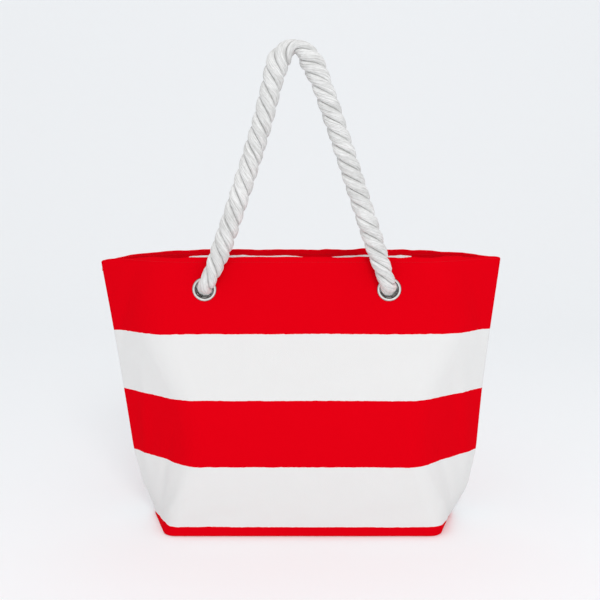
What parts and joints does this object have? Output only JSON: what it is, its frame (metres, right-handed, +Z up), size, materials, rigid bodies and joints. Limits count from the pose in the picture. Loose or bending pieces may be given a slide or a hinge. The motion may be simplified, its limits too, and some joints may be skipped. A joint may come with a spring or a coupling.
{
  "type": "beach bag",
  "caption": "Boxed canvas beach tote with broad red and white stripes, twisted cotton rope handles through metal eyelets, knotted inside.",
  "frame": {"origin": "middle of the bag's base, on the surface it stands on, half way between the side seams and between front and back", "axes": "+Z up; the bag's front, with the handle that stands up, faces -Y; +X along its width, to the right seen from the front"},
  "size_m": [0.514, 0.179, 0.6066],
  "materials": {
    "striped_canvas": "plain-weave canvas printed with broad red and white stripes, matt",
    "lining": "thin white plain-weave cloth, slightly creased",
    "board": "matt stiffener sheet",
    "eyelet_metal": "bright nickel plate, lightly brushed",
    "rope": "soft three-strand twisted cotton, off-white, matt",
    "tape": "white cloth tape, matt"
  },
  "bodies": {
    "bag": {"base_canvas": "striped_canvas", "base_board": "board", "base_lining": "lining", "front_canvas": "striped_canvas", "front_hem": "striped_canvas", "front_lining": "lining", "back_canvas": "striped_canvas", "back_hem": "striped_canvas", "back_lining": "lining", "front_left_eyelet": "eyelet_metal", "front_left_washer": "eyelet_metal", "front_left_knot": "rope", "front_left_tape": "tape", "front_right_eyelet": "eyelet_metal", "front_right_washer": "eyelet_metal", "front_right_knot": "rope", "front_right_tape": "tape", "back_left_eyelet": "eyelet_metal", "back_left_washer": "eyelet_metal", "back_left_knot": "rope", "back_left_tape": "tape", "back_right_eyelet": "eyelet_metal", "back_right_washer": "eyelet_metal", "back_right_knot": "rope", "back_right_tape": "tape"},
    "front_handle": {"front_rope": "rope"},
    "back_handle": {"back_rope": "rope"}
  },
  "joints": [
    {"name": "front_handle_swing", "type": "hinge", "parent": "bag", "child": "front_handle", "pos_m": [0, -0.0611, 0.31], "axis": [1, 0, 0], "range_deg": [-2, 168]},
    {"name": "back_handle_swing", "type": "hinge", "parent": "bag", "child": "back_handle", "pos_m": [0, 0.0611, 0.31], "axis": [1, 0, 0], "range_deg": [0, 178]}
  ]
}
